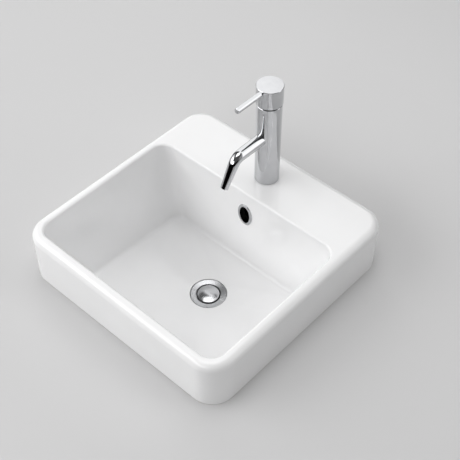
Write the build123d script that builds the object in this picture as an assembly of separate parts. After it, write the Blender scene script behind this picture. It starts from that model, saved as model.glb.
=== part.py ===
from build123d import *
import os
from math import cos, radians, sin, sqrt, tan

# Square inset basin with a single lever mixer and a push-top waste, as separate pieces.
# Millimetres, +Z up, +Y towards the tap deck at the back.
# The origin is the centre of the plan, on the counter top.

# Basin: outside
BASIN_WIDTH = 400.0
BASIN_DEPTH = 397.0
UPSTAND_HEIGHT = 89.0
PLAN_RADIUS = 39.0
RIM_OUTER_RADIUS = 12.0
FOOT_RADIUS = 1.5
SKIRT_WALL = 12.0
DECK_THICKNESS = 12.0

# Basin: bowl
SIDE_RIM = 17.0
FRONT_RIM = 17.5
DECK_DEPTH = 108.5
RIM_INNER_RADIUS = 4.0
BOWL_WALL = 10.0
BOWL_CORNER_RADIUS = 24.0
SIDE_DRAFT_DEG = 10.0
FRONT_DRAFT_DEG = 6.0
FLOOR_DEPTH_BACK = 158.0
FLOOR_DEPTH_FRONT = 147.0
FLOOR_RADIUS = 8.0
UNDERSIDE_RADIUS = 18.0
DRAIN_DEPTH = 168.5
DRAIN_FROM_BACK = 89.0

# Basin: waste seat and overflow
DRAIN_BOSS_RADIUS = 37.0
DRAIN_BOSS_BOTTOM = -121.5
DRAIN_HOLE_RADIUS = 23.0
OVERFLOW_Z = 40.5
OVERFLOW_HALF_WIDTH = 11.4
OVERFLOW_HALF_HEIGHT = 18.4
DUCT_HALF_WIDTH = 14.0
DUCT_DEPTH = 10.0
DUCT_WALL = 7.0
DUCT_HEADROOM = 3.0
DUCT_EDGE_RADIUS = 5.0

# Overflow trim
TRIM_FLANGE_REACH = 3.4
TRIM_FLANGE_THICKNESS = 1.6
TRIM_EDGE_RADIUS = 1.1
TRIM_SLEEVE_WALL = 0.9
TRIM_SLEEVE_LENGTH = 8.0
TRIM_CLEARANCE = 0.2

# Waste
FLANGE_RADIUS = 30.4
FLANGE_EDGE = 1.6
FLANGE_THICKNESS = 3.4
FLANGE_DISH = 1.6
FLANGE_SIDE_GAP = 0.6
FLANGE_SEAL_THICKNESS = 2.0
PLUG_SEAT_RADIUS = 21.1
PLUG_SEAT_DEPTH = 7.0
TAIL_RADIUS = 20.95
TAIL_BORE_RADIUS = 18.2
TAIL_BOTTOM = -152.0
TAIL_END_RADIUS = 20.4
TAIL_END_LENGTH = 10.0
TAIL_SLOT_WIDTH = 14.0
TAIL_SLOT_HEIGHT = 11.0
BRIDGE_TOP = -100.0
BRIDGE_HEIGHT = 5.0
BRIDGE_BAR = 3.6
LATCH_RADIUS = 7.0
LATCH_FLANGE_RADIUS = 8.6
LATCH_FLANGE_HEIGHT = 2.4
LATCH_LENGTH = 24.0
PLUG_RADIUS = 19.8
PLUG_EDGE = 1.8
PLUG_CROWN = 3.6
PLUG_EDGE_BELOW_FLANGE = 1.4
PLUG_STEM_RADIUS = 3.9
PLUG_STEM_LENGTH = 31.0
PLUG_SEAL_OUTER = 19.4
PLUG_SEAL_INNER = 15.0
PLUG_SEAL_GAP = 0.3
SLIDING_CLEARANCE = 0.05
CONE_WASHER_HEIGHT = 7.0
CONE_WASHER_RADIUS = 34.0
SLIP_WASHER_HEIGHT = 1.5
BACK_NUT_HEIGHT = 11.0
BACK_NUT_ACROSS_FLATS = 62.0

# Mixer: body
TAP_SETBACK = 57.5
TAP_HOLE_RADIUS = 17.5
MIXER_RADIUS = 20.0
MIXER_TOP_ABOVE_DECK = 153.0
DECK_SHADOW_GAP = 0.5
EDGE_BREAK = 0.5
CHAMBER_RADIUS = 17.6
CHAMBER_FLOOR_ABOVE_DECK = 107.0
GASKET_OUTER = 18.4
GASKET_INNER = 15.8
GASKET_HEIGHT = 2.0
GASKET_SIDE_GAP = 0.2
PORT_X = 8.5
PORT_Y = 0.0
PORT_RADIUS = 3.2
INLET_THREAD_RADIUS = 4.6
INLET_THREAD_LENGTH = 14.0
OUTLET_Y = -7.0

# Mixer: spout
SPOUT_ABOVE_DECK = 91.0
SPOUT_REACH = 74.3
SPOUT_DROP_LENGTH = 51.0
SPOUT_DROP_DEG = 60.0
SPOUT_BEND_RADIUS = 18.0
SPOUT_ROOT_INSET = 12.0
SPOUT_ROOT_RADIUS = 9.8
SPOUT_BEND_START_RADIUS = 9.3
SPOUT_BEND_END_RADIUS = 8.4
SPOUT_TIP_RADIUS = 6.2
SPOUT_WALL = 1.1
BEND_SECTIONS = 5
AERATOR_LENGTH = 8.0
AERATOR_RECESS = 0.6
AERATOR_WALL = 0.9
AERATOR_INSERT_LENGTH = 5.0
AERATOR_HOLES = 8
AERATOR_HOLE_RADIUS = 0.5
AERATOR_INNER_CIRCLE = 1.6
AERATOR_OUTER_CIRCLE = 3.0

# Mixer: cartridge
PIVOT_BELOW_BODY_TOP = 14.0
CARTRIDGE_RADIUS = 17.4
CARTRIDGE_CAVITY_RADIUS = 14.0
CARTRIDGE_TOP_PLATE = 2.8
NECK_RADIUS = 12.5
FIXED_DISC_RADIUS = 13.8
FIXED_DISC_HEIGHT = 4.0
MOVING_DISC_RADIUS = 10.0
MOVING_DISC_HEIGHT = 9.4
MIXING_CHANNEL_OUTER = 7.0
MIXING_CHANNEL_INNER = 4.5
DISC_GAP = 0.1
SEAL_HEIGHT = 1.5
SEAL_OUTER = 5.0
SPINDLE_RADIUS = 9.0
SPINDLE_COLLAR_RADIUS = 12.0
SPINDLE_COLLAR_HEIGHT = 2.6
SPINDLE_TOP_ABOVE_PIVOT = 8.5
PIVOT_PIN_RADIUS = 1.5
STEM_WIDTH = 6.0
STEM_DEPTH = 8.0
STEM_SLOT_CLEARANCE = 0.1
STEM_TIP_DROP = 10.0
STEM_TIP_RADIUS = 2.4
STEM_NECK_RADIUS = 1.5
POCKET_CLEARANCE = 0.2
RETAINING_NUT_HEIGHT = 8.0
RETAINING_NUT_CLEARANCE = 0.3
DOME_RADIUS = 21.5
DOME_WALL = 1.5
DOME_HOLE_RADIUS = 12.0
DOME_FOOT_RADIUS = 16.8

# Mixer: handle
HANDLE_GAP = 2.6
CAP_RADIUS = 21.0
CAP_HEIGHT = 31.2
CAP_SKIRT_WALL = 1.6
CAP_SKIRT_DEPTH = 9.0
CAP_CAVITY_RADIUS = 17.4
CAP_CAVITY_DEPTH = 15.0
CAP_BOSS_RADIUS = 9.0
CAP_BOSS_ABOVE_EDGE = 6.9
SOCKET_DEPTH = 14.0
SOCKET_CLEARANCE = 0.05
LEVER_RADIUS = 4.4
LEVER_BELOW_CAP_TOP = 5.0
LEVER_REACH = 73.0
LEVER_THREAD_RADIUS = 2.5
LEVER_THREAD_LENGTH = 8.0
GRUB_RADIUS = 2.5
GRUB_LENGTH = 9.0
GRUB_KEY_RADIUS = 1.25
GRUB_KEY_DEPTH = 3.0
GRUB_BELOW_SOCKET_TOP = 7.0
LIFT_DEG = 20.0

# Mixer: fixing under the deck
STUD_RADIUS = 4.0
STUD_Y = 11.5
STUD_THREAD_CLEARANCE = 0.05
STUD_DEPTH_IN_BODY = 18.0
STUD_BELOW_DECK = 58.0
CLAMP_RADIUS = 25.0
CLAMP_SLOT_HALF_WIDTH = 14.0
CLAMP_SLOT_END_Y = 6.0
CLAMP_GASKET_HEIGHT = 2.0
CLAMP_PLATE_HEIGHT = 3.0
FIXING_NUT_ACROSS_FLATS = 13.0
FIXING_NUT_HEIGHT = 9.0

# Places that follow from the sizes above
DECK_Z = UPSTAND_HEIGHT
DECK_UNDERSIDE_Z = DECK_Z - DECK_THICKNESS
DRAIN_Z = DECK_Z - DRAIN_DEPTH
BOWL_HALF_WIDTH = BASIN_WIDTH / 2 - SIDE_RIM
BOWL_FRONT_Y = -BASIN_DEPTH / 2 + FRONT_RIM
BOWL_BACK_Y = BASIN_DEPTH / 2 - DECK_DEPTH
DRAIN_Y = BOWL_BACK_Y - DRAIN_FROM_BACK
TAP_Y = BASIN_DEPTH / 2 - TAP_SETBACK
BODY_TOP_Z = DECK_Z + MIXER_TOP_ABOVE_DECK
PIVOT_Z = BODY_TOP_Z - PIVOT_BELOW_BODY_TOP
CHAMBER_FLOOR_Z = DECK_Z + CHAMBER_FLOOR_ABOVE_DECK
SPOUT_Z = DECK_Z + SPOUT_ABOVE_DECK
CAP_EDGE_Z = BODY_TOP_Z + HANDLE_GAP
CAP_TOP_Z = CAP_EDGE_Z + CAP_HEIGHT
LEVER_Z = CAP_TOP_Z - LEVER_BELOW_CAP_TOP
SOCKET_LOW_Z = CAP_EDGE_Z + CAP_BOSS_ABOVE_EDGE
SOCKET_TOP_Z = SOCKET_LOW_Z + SOCKET_DEPTH
GRUB_Z = SOCKET_TOP_Z - GRUB_BELOW_SOCKET_TOP
CLAMP_GASKET_LOW = DECK_UNDERSIDE_Z - CLAMP_GASKET_HEIGHT
CLAMP_PLATE_LOW = CLAMP_GASKET_LOW - CLAMP_PLATE_HEIGHT
CUT_MARGIN = 1.0

UP = (Align.CENTER, Align.CENTER, Align.MIN)


def rod(radius, low, high, x=0.0, y=0.0):
    """Upright cylinder between two heights."""
    return Pos(x, y, low) * Cylinder(radius, high - low, align=UP)


def tube(outer, inner, low, high, x=0.0, y=0.0):
    """Upright ring between two heights."""
    return rod(outer, low, high, x, y) - rod(inner, low - CUT_MARGIN, high + CUT_MARGIN, x, y)


def block(low, high):
    """Box between two opposite corners."""
    size = [b - a for a, b in zip(low, high)]
    middle = [(a + b) / 2 for a, b in zip(low, high)]
    return Pos(*middle) * Box(*size)


def turned(points, y=0.0):
    """Solid turned about an upright axis at (0, y) from a closed outline of (radius, height) points."""
    outline = make_face(Plane.XZ * Polyline(*points, close=True))
    return Pos(0, y, 0) * revolve(outline, Axis.Z)


def hexagon(across_flats, low, high, x=0.0, y=0.0):
    """Upright hexagonal bar."""
    profile = RegularPolygon(across_flats / 2, 6, major_radius=False)
    return Pos(x, y, low) * extrude(profile, high - low)


def bar_along_y(radius, front, back, x, z):
    """Cylinder that lies along Y."""
    return Pos(x, front, z) * Rot(-90, 0, 0) * Cylinder(radius, back - front, align=UP)


def ellipse_along_y(half_width, half_height, front, back, z):
    """Elliptical bar that lies along Y."""
    across = Plane(origin=(0, back, z), x_dir=(1, 0, 0), z_dir=(0, -1, 0))
    return extrude(across * Ellipse(half_width, half_height), back - front)


# Basin


def bowl_section(depth, grow):
    """Level outline of the bowl at a depth below the deck, grown outwards by a wall."""
    half_width = BOWL_HALF_WIDTH - depth * tan(radians(SIDE_DRAFT_DEG)) + grow
    front = BOWL_FRONT_Y + depth * tan(radians(FRONT_DRAFT_DEG)) - grow
    back = BOWL_BACK_Y + grow
    outline = RectangleRounded(2 * half_width, back - front, BOWL_CORNER_RADIUS + grow)
    return Pos(0, (front + back) / 2, DECK_Z - depth) * outline


def bowl_form(top_depth, grow, floor_radius):
    """Bowl's filled form from a depth down to its floor, which falls from a tilted edge to the waste."""
    deep = DRAIN_DEPTH + 3 * BOWL_WALL
    walls = loft([bowl_section(top_depth, grow), bowl_section(deep, grow)], ruled=True)
    front_z = DECK_Z - FLOOR_DEPTH_FRONT - grow
    back_z = DECK_Z - FLOOR_DEPTH_BACK - grow
    front_y = BOWL_FRONT_Y + FLOOR_DEPTH_FRONT * tan(radians(FRONT_DRAFT_DEG))
    run = BOWL_BACK_Y - front_y
    uphill = (0, front_z - back_z, run)
    floor_plane = Plane(origin=(0, BOWL_BACK_Y, back_z), x_dir=(1, 0, 0), z_dir=uphill)
    walls = split(walls, bisect_by=floor_plane, keep=Keep.TOP)
    floor_edge = walls.faces().sort_by(Axis.Z)[0]
    seat = 2 * (FLANGE_RADIUS + FLANGE_SIDE_GAP + grow)
    drain = Pos(0, DRAIN_Y, DRAIN_Z - grow) * RectangleRounded(seat, seat, seat / 2 - CUT_MARGIN)
    form = walls + loft([floor_edge, drain.faces()[0]], ruled=True)
    rim_of_floor = [e for e in form.edges() if on_floor_edge(e, front_y, front_z, back_z, run)]
    return fillet(rim_of_floor, floor_radius)


def on_floor_edge(edge, front_y, front_z, back_z, run):
    """True for an edge that lies in the tilted plane where walls and floor meet."""
    for point in (edge @ 0, edge @ 0.5, edge @ 1):
        height = front_z + (back_z - front_z) * (point.Y - front_y) / run
        if abs(point.Z - height) > 0.01:
            return False
    return True


def overflow_duct(grow):
    """Overflow passage down the back of the bowl and forward to the waste, grown by its wall."""
    half = DUCT_HALF_WIDTH + grow
    back = BOWL_BACK_Y + BOWL_WALL + DUCT_DEPTH + grow
    top = OVERFLOW_Z + OVERFLOW_HALF_HEIGHT + DUCT_HEADROOM + grow
    low = DRAIN_Z - FLANGE_THICKNESS - BOWL_WALL - 2 * DUCT_DEPTH - grow
    run_top = low + DUCT_DEPTH + 2 * grow
    down = block((-half, BOWL_BACK_Y + BOWL_WALL - grow, low), (half, back, top))
    forward = block((-half, DRAIN_Y, low), (half, back, run_top))
    duct = down + forward
    return fillet(duct.edges(), DUCT_EDGE_RADIUS) if grow else duct


def basin_body():
    """Glazed casting: upstand with its skirt, tap deck, bowl, waste boss and overflow passage."""
    plan = RectangleRounded(BASIN_WIDTH, BASIN_DEPTH, PLAN_RADIUS)
    upstand = extrude(plan, UPSTAND_HEIGHT)
    upstand = fillet(upstand.edges().group_by(Axis.Z)[-1], RIM_OUTER_RADIUS)
    upstand = fillet(upstand.edges().group_by(Axis.Z)[0], FOOT_RADIUS)
    inner_width = BASIN_WIDTH - 2 * SKIRT_WALL
    inner_depth = BASIN_DEPTH - 2 * SKIRT_WALL
    inner_plan = RectangleRounded(inner_width, inner_depth, PLAN_RADIUS - SKIRT_WALL)
    body = upstand - extrude(inner_plan, DECK_UNDERSIDE_Z)
    body += bowl_form(DECK_THICKNESS, BOWL_WALL, UNDERSIDE_RADIUS)
    body += overflow_duct(DUCT_WALL)
    body += rod(DRAIN_BOSS_RADIUS, DRAIN_BOSS_BOTTOM, DRAIN_Z - BOWL_WALL, y=DRAIN_Y)
    body -= bowl_form(0, 0, FLOOR_RADIUS)
    rim = [e for e in body.edges().group_by(Axis.Z)[-1] if on_bowl_rim(e.center())]
    body = fillet(rim, RIM_INNER_RADIUS)
    seat_floor = DRAIN_Z - FLANGE_THICKNESS - FLANGE_SEAL_THICKNESS
    body -= rod(FLANGE_RADIUS + FLANGE_SIDE_GAP, seat_floor, DECK_Z, y=DRAIN_Y)
    body -= rod(DRAIN_HOLE_RADIUS, DRAIN_BOSS_BOTTOM - CUT_MARGIN, DECK_Z, y=DRAIN_Y)
    body -= overflow_duct(0)
    body -= ellipse_along_y(
        OVERFLOW_HALF_WIDTH,
        OVERFLOW_HALF_HEIGHT,
        BOWL_BACK_Y - CUT_MARGIN,
        BOWL_BACK_Y + BOWL_WALL + CUT_MARGIN,
        OVERFLOW_Z,
    )
    body -= rod(TAP_HOLE_RADIUS, 0, DECK_Z + CUT_MARGIN, y=TAP_Y)
    return body


def on_bowl_rim(point):
    """True for a point in plan on the bowl's top outline or inside it."""
    within_sides = abs(point.X) < BOWL_HALF_WIDTH + CUT_MARGIN
    return within_sides and BOWL_FRONT_Y - CUT_MARGIN < point.Y < BOWL_BACK_Y + CUT_MARGIN


def overflow_trim():
    """Oval ring with a sleeve that plugs into the overflow hole."""
    sleeve_half_width = OVERFLOW_HALF_WIDTH - TRIM_CLEARANCE
    sleeve_half_height = OVERFLOW_HALF_HEIGHT - TRIM_CLEARANCE
    flange = ellipse_along_y(
        OVERFLOW_HALF_WIDTH + TRIM_FLANGE_REACH,
        OVERFLOW_HALF_HEIGHT + TRIM_FLANGE_REACH,
        BOWL_BACK_Y - TRIM_FLANGE_THICKNESS,
        BOWL_BACK_Y,
        OVERFLOW_Z,
    )
    flange = fillet(flange.edges().group_by(Axis.Y)[0], TRIM_EDGE_RADIUS)
    sleeve = ellipse_along_y(
        sleeve_half_width,
        sleeve_half_height,
        BOWL_BACK_Y,
        BOWL_BACK_Y + TRIM_SLEEVE_LENGTH,
        OVERFLOW_Z,
    )
    hole = ellipse_along_y(
        sleeve_half_width - TRIM_SLEEVE_WALL,
        sleeve_half_height - TRIM_SLEEVE_WALL,
        BOWL_BACK_Y - TRIM_FLANGE_THICKNESS - CUT_MARGIN,
        BOWL_BACK_Y + TRIM_SLEEVE_LENGTH + CUT_MARGIN,
        OVERFLOW_Z,
    )
    return flange + sleeve - hole


# Waste


def waste_body():
    """Flange, plug seat, slotted tail and the bridge that holds the latch, in one turned piece."""
    dish_z = DRAIN_Z - FLANGE_DISH
    under_z = DRAIN_Z - FLANGE_THICKNESS
    seat_z = DRAIN_Z - PLUG_SEAT_DEPTH
    shell = turned(
        [
            (PLUG_SEAT_RADIUS, dish_z),
            (FLANGE_RADIUS - FLANGE_EDGE, DRAIN_Z),
            (FLANGE_RADIUS, DRAIN_Z - FLANGE_EDGE),
            (FLANGE_RADIUS, under_z),
            (DRAIN_HOLE_RADIUS - TRIM_CLEARANCE, under_z),
            (DRAIN_HOLE_RADIUS - TRIM_CLEARANCE, seat_z - FLANGE_EDGE),
            (TAIL_RADIUS, seat_z - 2 * FLANGE_EDGE),
            (TAIL_RADIUS, TAIL_BOTTOM + TAIL_END_LENGTH),
            (TAIL_END_RADIUS, TAIL_BOTTOM + TAIL_END_LENGTH),
            (TAIL_END_RADIUS, TAIL_BOTTOM),
            (TAIL_BORE_RADIUS, TAIL_BOTTOM),
            (TAIL_BORE_RADIUS, seat_z),
            (PLUG_SEAT_RADIUS, seat_z),
        ],
        DRAIN_Y,
    )
    bridge_low = BRIDGE_TOP - BRIDGE_HEIGHT
    slot_top = bridge_low + CUT_MARGIN
    slot_half = TAIL_SLOT_WIDTH / 2
    reach = TAIL_RADIUS + CUT_MARGIN
    slots = block(
        (-slot_half, DRAIN_Y - reach, slot_top - TAIL_SLOT_HEIGHT),
        (slot_half, DRAIN_Y + reach, slot_top),
    )
    bars = block(
        (-TAIL_BORE_RADIUS, DRAIN_Y - BRIDGE_BAR / 2, bridge_low),
        (TAIL_BORE_RADIUS, DRAIN_Y + BRIDGE_BAR / 2, BRIDGE_TOP),
    )
    hub = rod(LATCH_FLANGE_RADIUS, bridge_low, BRIDGE_TOP, y=DRAIN_Y)
    latch_hole = rod(LATCH_RADIUS, bridge_low - CUT_MARGIN, BRIDGE_TOP + CUT_MARGIN, y=DRAIN_Y)
    return shell - slots + bars + hub - latch_hole


def waste_latch():
    """Push-to-release latch barrel that hangs in the waste's bridge and guides the plug's stem."""
    top = BRIDGE_TOP + LATCH_FLANGE_HEIGHT
    barrel = rod(LATCH_RADIUS, top - LATCH_LENGTH, top, y=DRAIN_Y)
    flange = rod(LATCH_FLANGE_RADIUS, BRIDGE_TOP, top, y=DRAIN_Y)
    bore_radius = PLUG_STEM_RADIUS + SLIDING_CLEARANCE
    bore = rod(bore_radius, top - LATCH_LENGTH - CUT_MARGIN, top + CUT_MARGIN, y=DRAIN_Y)
    return barrel + flange - bore


def plug_cap():
    """Domed plug that fills the flange."""
    edge_top = DRAIN_Z - PLUG_EDGE_BELOW_FLANGE
    edge_low = edge_top - PLUG_EDGE
    crown = edge_top + PLUG_CROWN
    dome_radius = (PLUG_RADIUS**2 + PLUG_CROWN**2) / (2 * PLUG_CROWN)
    half_way = PLUG_RADIUS / 2
    half_way_z = crown - dome_radius + sqrt(dome_radius**2 - half_way**2)
    sides = Polyline((0, crown), (0, edge_low), (PLUG_RADIUS, edge_low), (PLUG_RADIUS, edge_top))
    dome = ThreePointArc((PLUG_RADIUS, edge_top), (half_way, half_way_z), (0, crown))
    outline = make_face(Plane.XZ * (sides + dome))
    return Pos(0, DRAIN_Y, 0) * revolve(outline, Axis.Z)


def plug_stem():
    """Push rod under the plug, with a head that carries the seal."""
    top = DRAIN_Z - PLUG_EDGE_BELOW_FLANGE - PLUG_EDGE
    seal_bottom = DRAIN_Z - PLUG_SEAT_DEPTH + PLUG_SEAL_GAP
    head = rod(PLUG_SEAL_INNER, seal_bottom, top, y=DRAIN_Y)
    return head + rod(PLUG_STEM_RADIUS, seal_bottom - PLUG_STEM_LENGTH, seal_bottom, y=DRAIN_Y)


def plug_seal():
    """Rubber ring between the plug and its seat."""
    top = DRAIN_Z - PLUG_EDGE_BELOW_FLANGE - PLUG_EDGE
    bottom = DRAIN_Z - PLUG_SEAT_DEPTH + PLUG_SEAL_GAP
    return tube(PLUG_SEAL_OUTER, PLUG_SEAL_INNER, bottom, top, y=DRAIN_Y)


def flange_seal():
    """Flat seal between the waste's flange and the basin."""
    top = DRAIN_Z - FLANGE_THICKNESS
    bottom = top - FLANGE_SEAL_THICKNESS
    return tube(FLANGE_RADIUS - FLANGE_EDGE, DRAIN_HOLE_RADIUS, bottom, top, y=DRAIN_Y)


def cone_washer():
    """Tapered rubber washer that seals the tail under the basin."""
    inner = TAIL_RADIUS + SLIDING_CLEARANCE
    bottom = DRAIN_BOSS_BOTTOM - CONE_WASHER_HEIGHT
    nose = DRAIN_BOSS_BOTTOM + CONE_WASHER_HEIGHT / 4
    return turned(
        [
            (inner, bottom),
            (CONE_WASHER_RADIUS, bottom),
            (CONE_WASHER_RADIUS, DRAIN_BOSS_BOTTOM),
            (DRAIN_HOLE_RADIUS, DRAIN_BOSS_BOTTOM),
            (DRAIN_HOLE_RADIUS - SLIDING_CLEARANCE, nose),
            (inner, nose),
        ],
        DRAIN_Y,
    )


def slip_washer():
    """Thin washer that lets the back nut turn against the rubber."""
    top = DRAIN_BOSS_BOTTOM - CONE_WASHER_HEIGHT
    inner = TAIL_RADIUS + SLIDING_CLEARANCE
    return tube(CONE_WASHER_RADIUS, inner, top - SLIP_WASHER_HEIGHT, top, y=DRAIN_Y)


def back_nut():
    """Hexagonal nut on the waste's tail."""
    top = DRAIN_BOSS_BOTTOM - CONE_WASHER_HEIGHT - SLIP_WASHER_HEIGHT
    low = top - BACK_NUT_HEIGHT
    nut = hexagon(BACK_NUT_ACROSS_FLATS, low, top, y=DRAIN_Y)
    nut = nut & rod(BACK_NUT_ACROSS_FLATS / sqrt(3) - EDGE_BREAK, low, top, y=DRAIN_Y)
    return nut - rod(TAIL_RADIUS + SLIDING_CLEARANCE, low - CUT_MARGIN, top + CUT_MARGIN, y=DRAIN_Y)


# Mixer


def spout_stations():
    """Centre, direction and outside radius along the spout, from inside the body to the outlet."""
    turn = radians(SPOUT_DROP_DEG)
    tangent = SPOUT_BEND_RADIUS * tan(turn / 2)
    bend_y = TAP_Y - SPOUT_REACH
    stations = [(TAP_Y - SPOUT_ROOT_INSET, SPOUT_Z, 0.0, SPOUT_ROOT_RADIUS)]
    for step in range(BEND_SECTIONS):
        part = step / (BEND_SECTIONS - 1)
        angle = turn * part
        y = bend_y + tangent - SPOUT_BEND_RADIUS * sin(angle)
        z = SPOUT_Z - SPOUT_BEND_RADIUS * (1 - cos(angle))
        radius = SPOUT_BEND_START_RADIUS + (SPOUT_BEND_END_RADIUS - SPOUT_BEND_START_RADIUS) * part
        stations.append((y, z, angle, radius))
    tip_y = bend_y - SPOUT_DROP_LENGTH * cos(turn)
    tip_z = SPOUT_Z - SPOUT_DROP_LENGTH * sin(turn)
    stations.append((tip_y, tip_z, turn, SPOUT_TIP_RADIUS))
    return stations


def spout_plane(y, z, angle):
    """Plane across the spout, facing the way the water goes."""
    return Plane(origin=(0, y, z), x_dir=(1, 0, 0), z_dir=(0, -cos(angle), -sin(angle)))


def spout_form(shrink, over):
    """Tapered bent bar through the spout's stations, thinner by a wall and longer at both ends if asked."""
    stations = spout_stations()
    discs = [spout_plane(y, z, angle) * Circle(radius - shrink) for y, z, angle, radius in stations]
    root = loft(discs[:2], ruled=True)
    drop = loft(discs[-2:], ruled=True)
    form = root + loft(discs[1:-1]) + drop
    if over:
        root_y, root_z, _, root_radius = stations[0]
        form += bar_along_y(root_radius - shrink, root_y, root_y + over, 0, root_z)
        form += extrude(discs[-1], over)
    return form


def spout_tube():
    """Bent spout, brazed into the front of the body."""
    return spout_form(0, 0) - spout_form(SPOUT_WALL, CUT_MARGIN)


def outlet_plane(back):
    """Plane across the spout's outlet, moved up into the tube, facing out."""
    y, z, angle, _ = spout_stations()[-1]
    return spout_plane(y + back * cos(angle), z + back * sin(angle), angle)


def aerator_housing():
    """Threaded ring that holds the aerator in the outlet."""
    outer = SPOUT_TIP_RADIUS - SPOUT_WALL
    ring = Circle(outer) - Circle(outer - AERATOR_WALL)
    return extrude(outlet_plane(AERATOR_LENGTH + AERATOR_RECESS) * ring, AERATOR_LENGTH)


def aerator_insert():
    """Perforated insert inside the aerator housing."""
    hole = Circle(AERATOR_HOLE_RADIUS)
    face = Circle(SPOUT_TIP_RADIUS - SPOUT_WALL - AERATOR_WALL) - hole
    face -= PolarLocations(AERATOR_INNER_CIRCLE, AERATOR_HOLES // 2) * hole
    face -= PolarLocations(AERATOR_OUTER_CIRCLE, AERATOR_HOLES) * hole
    inside = outlet_plane(AERATOR_INSERT_LENGTH + 2 * AERATOR_RECESS)
    return extrude(inside * face, AERATOR_INSERT_LENGTH)


def mixer_body():
    """Turned body with the cartridge chamber on top, supply bores below and the spout's seat in front."""
    low = DECK_Z + DECK_SHADOW_GAP
    outside = rod(MIXER_RADIUS, low, BODY_TOP_Z)
    outside = chamfer(outside.edges().group_by(Axis.Z)[-1], EDGE_BREAK)
    outside = chamfer(outside.edges().group_by(Axis.Z)[0], EDGE_BREAK)
    body = Pos(0, TAP_Y, 0) * outside
    body -= rod(CHAMBER_RADIUS, CHAMBER_FLOOR_Z, BODY_TOP_Z + CUT_MARGIN, y=TAP_Y)
    groove_outer = GASKET_OUTER + GASKET_SIDE_GAP
    groove_inner = GASKET_INNER - GASKET_SIDE_GAP
    body -= tube(groove_outer, groove_inner, DECK_Z, DECK_Z + GASKET_HEIGHT, y=TAP_Y)
    for x in (-PORT_X, PORT_X):
        body -= rod(PORT_RADIUS, low, CHAMBER_FLOOR_Z + CUT_MARGIN, x, TAP_Y + PORT_Y)
        body -= rod(INLET_THREAD_RADIUS, DECK_Z, low + INLET_THREAD_LENGTH, x, TAP_Y + PORT_Y)
    body -= rod(STUD_RADIUS, DECK_Z, low + STUD_DEPTH_IN_BODY, y=TAP_Y + STUD_Y)
    body -= rod(PORT_RADIUS, SPOUT_Z, CHAMBER_FLOOR_Z + CUT_MARGIN, y=TAP_Y + OUTLET_Y)
    body -= bar_along_y(PORT_RADIUS, TAP_Y - SPOUT_ROOT_INSET, TAP_Y + OUTLET_Y, 0, SPOUT_Z)
    return body - spout_form(0, 0)


def base_gasket():
    """Ring seal between the mixer and the deck."""
    return tube(GASKET_OUTER, GASKET_INNER, DECK_Z, DECK_Z + GASKET_HEIGHT, y=TAP_Y)


def port_places():
    """Plan places of the hot, cold and mixed water ports about the mixer's axis."""
    return [(-PORT_X, PORT_Y), (PORT_X, PORT_Y), (0.0, OUTLET_Y)]


def port_seals():
    """Ring seals between the cartridge and the chamber floor, one for each port."""
    seals = Part()
    top = CHAMBER_FLOOR_Z + SEAL_HEIGHT
    for x, y in port_places():
        seals += tube(SEAL_OUTER, PORT_RADIUS, CHAMBER_FLOOR_Z, top, x, TAP_Y + y)
    return seals


def disc_levels():
    """Heights of the fixed disc's base, the moving disc's base and its top, worked down from the pivot."""
    moving_top = PIVOT_Z - STEM_TIP_DROP + STEM_TIP_RADIUS
    moving_low = moving_top - MOVING_DISC_HEIGHT
    fixed_low = moving_low - DISC_GAP - FIXED_DISC_HEIGHT
    return fixed_low, moving_low, moving_top


def plate_levels():
    """Underside and top of the cartridge's top plate, which holds the spindle's collar down."""
    _, _, moving_top = disc_levels()
    low = moving_top + SPINDLE_COLLAR_HEIGHT + 3 * DISC_GAP
    return low, low + CARTRIDGE_TOP_PLATE


def cartridge_body():
    """Cartridge casing: ported base, disc cavity, top plate and neck."""
    fixed_low, _, _ = disc_levels()
    plate_low, plate_top = plate_levels()
    neck_top = PIVOT_Z + SPINDLE_TOP_ABOVE_PIVOT - EDGE_BREAK
    casing = rod(CARTRIDGE_RADIUS, CHAMBER_FLOOR_Z, plate_top, y=TAP_Y)
    casing += rod(NECK_RADIUS, plate_top, neck_top, y=TAP_Y)
    casing -= rod(CARTRIDGE_CAVITY_RADIUS, fixed_low, plate_low, y=TAP_Y)
    casing -= rod(SPINDLE_RADIUS + SLIDING_CLEARANCE, plate_low, neck_top + CUT_MARGIN, y=TAP_Y)
    below = CHAMBER_FLOOR_Z - CUT_MARGIN
    for x, y in port_places():
        casing -= rod(PORT_RADIUS, below, fixed_low + CUT_MARGIN, x, TAP_Y + y)
        casing -= rod(SEAL_OUTER, below, CHAMBER_FLOOR_Z + SEAL_HEIGHT, x, TAP_Y + y)
    return casing


def fixed_disc():
    """Lower ceramic disc with the three water ports."""
    fixed_low, moving_low, _ = disc_levels()
    disc = rod(FIXED_DISC_RADIUS, fixed_low, moving_low - DISC_GAP, y=TAP_Y)
    for x, y in port_places():
        disc -= rod(PORT_RADIUS, fixed_low - CUT_MARGIN, moving_low, x, TAP_Y + y)
    return disc


def moving_disc():
    """Upper ceramic disc in its carrier, pushed to and fro by the tip of the stem."""
    _, low, top = disc_levels()
    pocket_radius = STEM_TIP_RADIUS + POCKET_CLEARANCE
    pocket = rod(pocket_radius, PIVOT_Z - STEM_TIP_DROP - pocket_radius, top + CUT_MARGIN, y=TAP_Y)
    channel_top = low + DISC_GAP + EDGE_BREAK
    channel = tube(MIXING_CHANNEL_OUTER, MIXING_CHANNEL_INNER, low - CUT_MARGIN, channel_top, y=TAP_Y)
    return rod(MOVING_DISC_RADIUS, low, top, y=TAP_Y) - pocket - channel


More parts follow.
